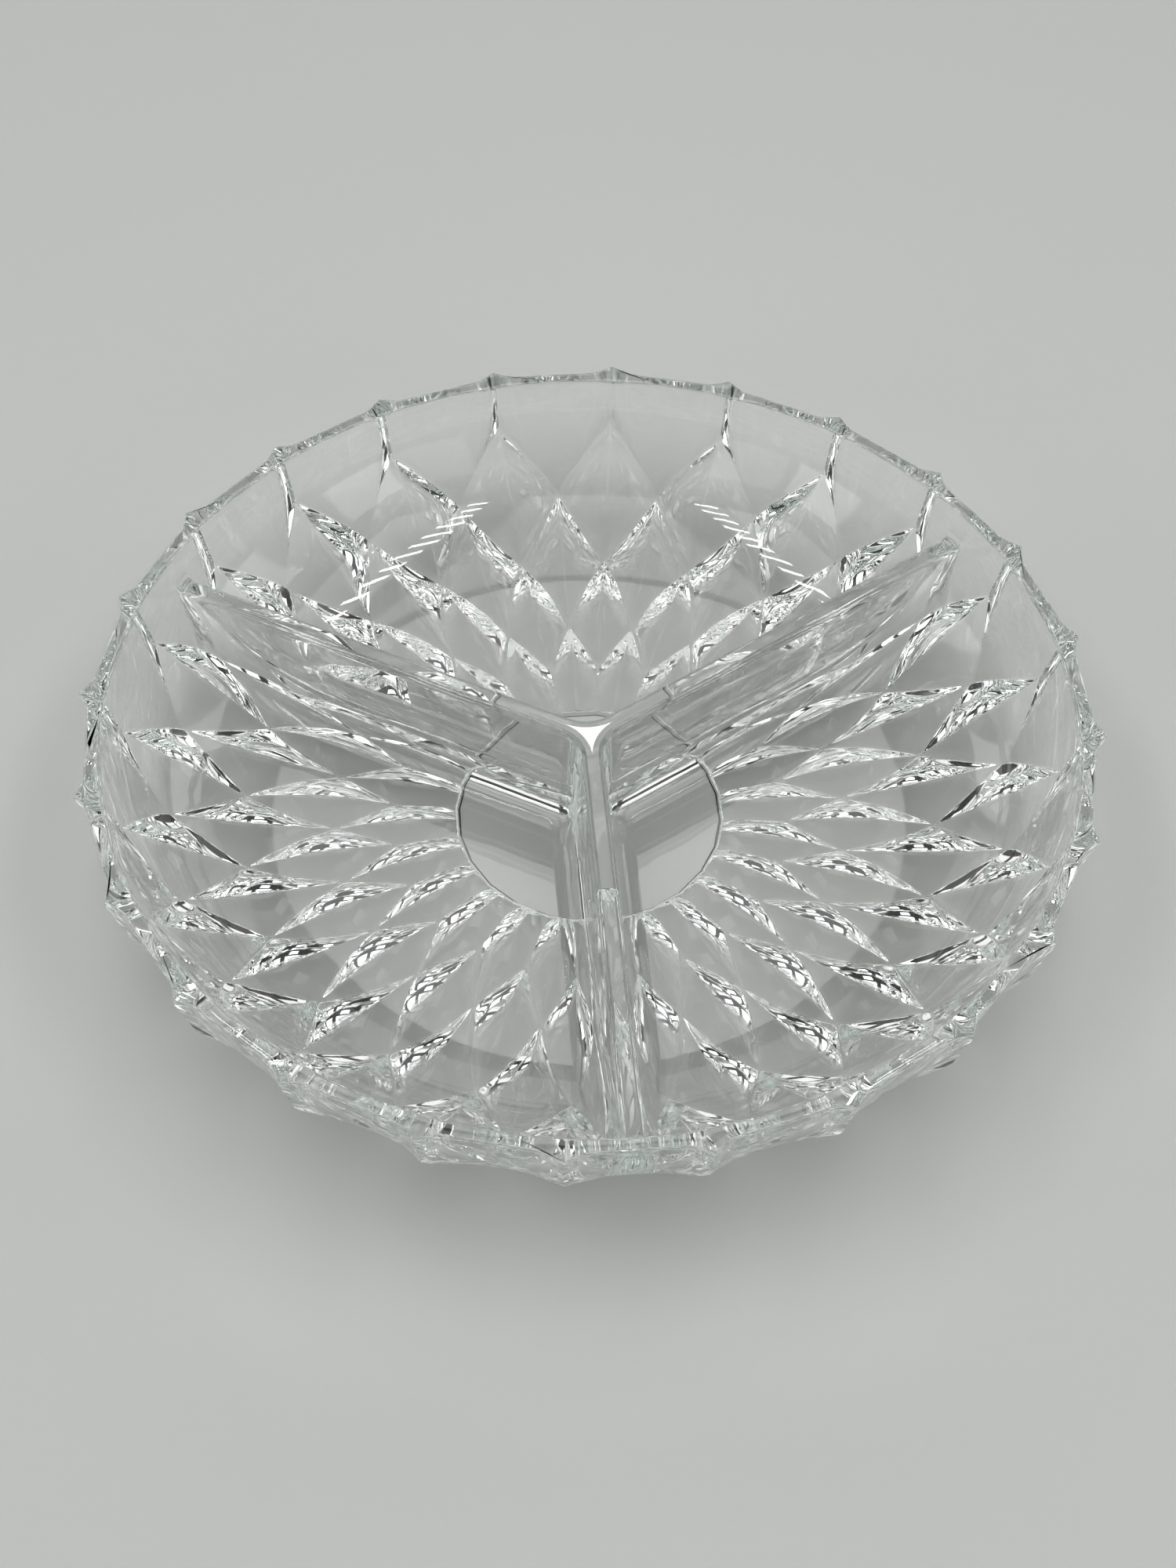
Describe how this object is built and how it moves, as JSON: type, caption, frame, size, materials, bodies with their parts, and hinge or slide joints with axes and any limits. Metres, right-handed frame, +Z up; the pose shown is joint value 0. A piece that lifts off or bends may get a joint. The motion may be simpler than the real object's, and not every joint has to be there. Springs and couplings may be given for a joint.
{
  "type": "relish tray",
  "caption": "Round shallow relish tray in clear pressed glass, with divided compartments and a lattice of mitre cuts underneath.",
  "frame": {"origin": "centre of the foot's underside, on the table", "axes": "+Z up, the front divider runs along -Y, +X to the right"},
  "size_m": [0.228, 0.228, 0.039],
  "materials": {
    "clear_glass": "clear pressed soda glass, fire polished, faint green in thick edges"
  },
  "bodies": {
    "root": {"foot_disc": "clear_glass", "floor_back": "clear_glass", "floor_left": "clear_glass", "floor_right": "clear_glass", "wall_back": "clear_glass", "wall_left": "clear_glass", "wall_right": "clear_glass", "rim_back": "clear_glass", "rim_left": "clear_glass", "rim_right": "clear_glass", "divider_front": "clear_glass", "divider_right": "clear_glass", "divider_left": "clear_glass", "divider_hub": "clear_glass"}
  },
  "joints": []
}
